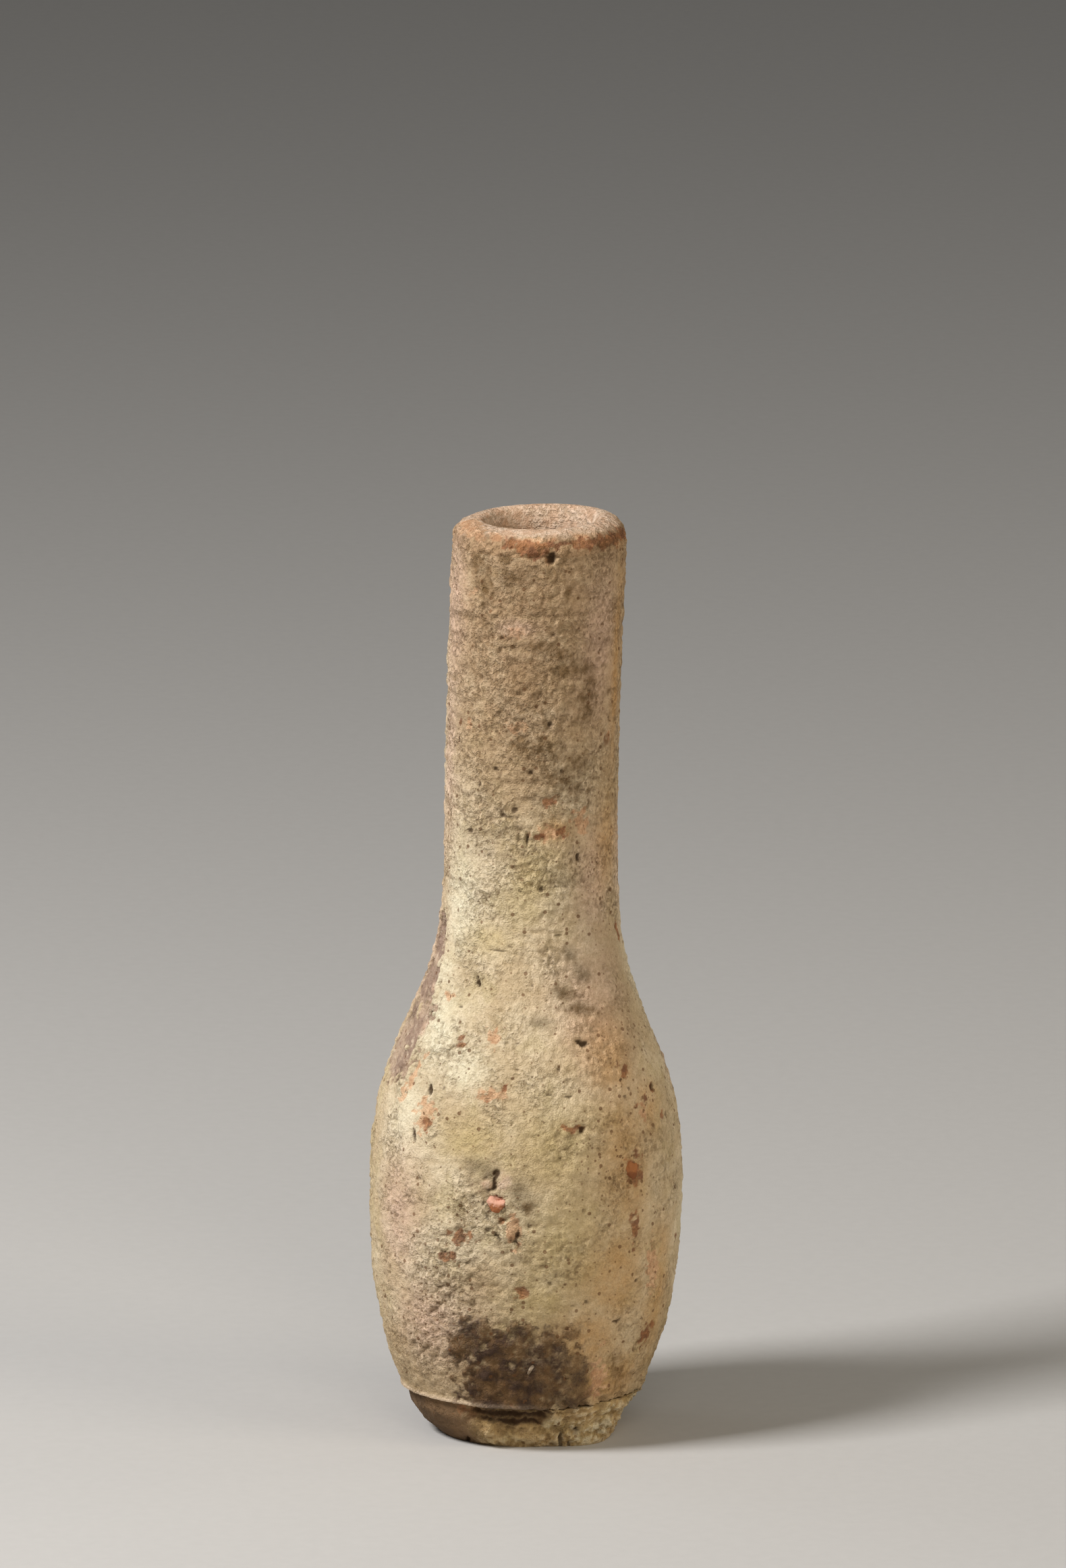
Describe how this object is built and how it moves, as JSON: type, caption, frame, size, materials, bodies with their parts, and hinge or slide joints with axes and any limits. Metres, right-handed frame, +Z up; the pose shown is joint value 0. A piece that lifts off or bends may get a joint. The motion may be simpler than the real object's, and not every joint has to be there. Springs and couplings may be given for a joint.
{
  "type": "unguentarium",
  "caption": "Small fired-clay perfume bottle with a flat foot, an egg-shaped body, a tall narrow neck and a thick round lip. It stands on its foot and holds scented oil or powder.",
  "frame": {"origin": "centre of the foot's flat underside, on the surface that the bottle stands on", "axes": "+Z up along the bottle's axis; +X to the right of the better side, which faces -Y"},
  "size_m": [0.0435, 0.0435, 0.1302],
  "materials": {
    "fired_clay": "matte, open-grained orange to brown biscuit clay, pitted and worn",
    "pale_slip": "matte, granular cream to buff slip with wheel streaks, pits and grey stains",
    "burnt_crust": "matte dark brown burnt crust, crazed and speckled",
    "red_mineral": "matte brick red grain",
    "brown_mineral": "matte red-brown grain",
    "pale_mineral": "slightly bright pale grey grain"
  },
  "bodies": {
    "root": {"foot_disc": "fired_clay", "body_wall": "fired_clay", "neck_tube": "fired_clay", "rim_lip": "fired_clay", "body_coat": "pale_slip", "neck_coat": "pale_slip", "dark_crust": "burnt_crust", "red_grit": "red_mineral", "brown_grit": "brown_mineral", "pale_grit": "pale_mineral"}
  },
  "joints": []
}
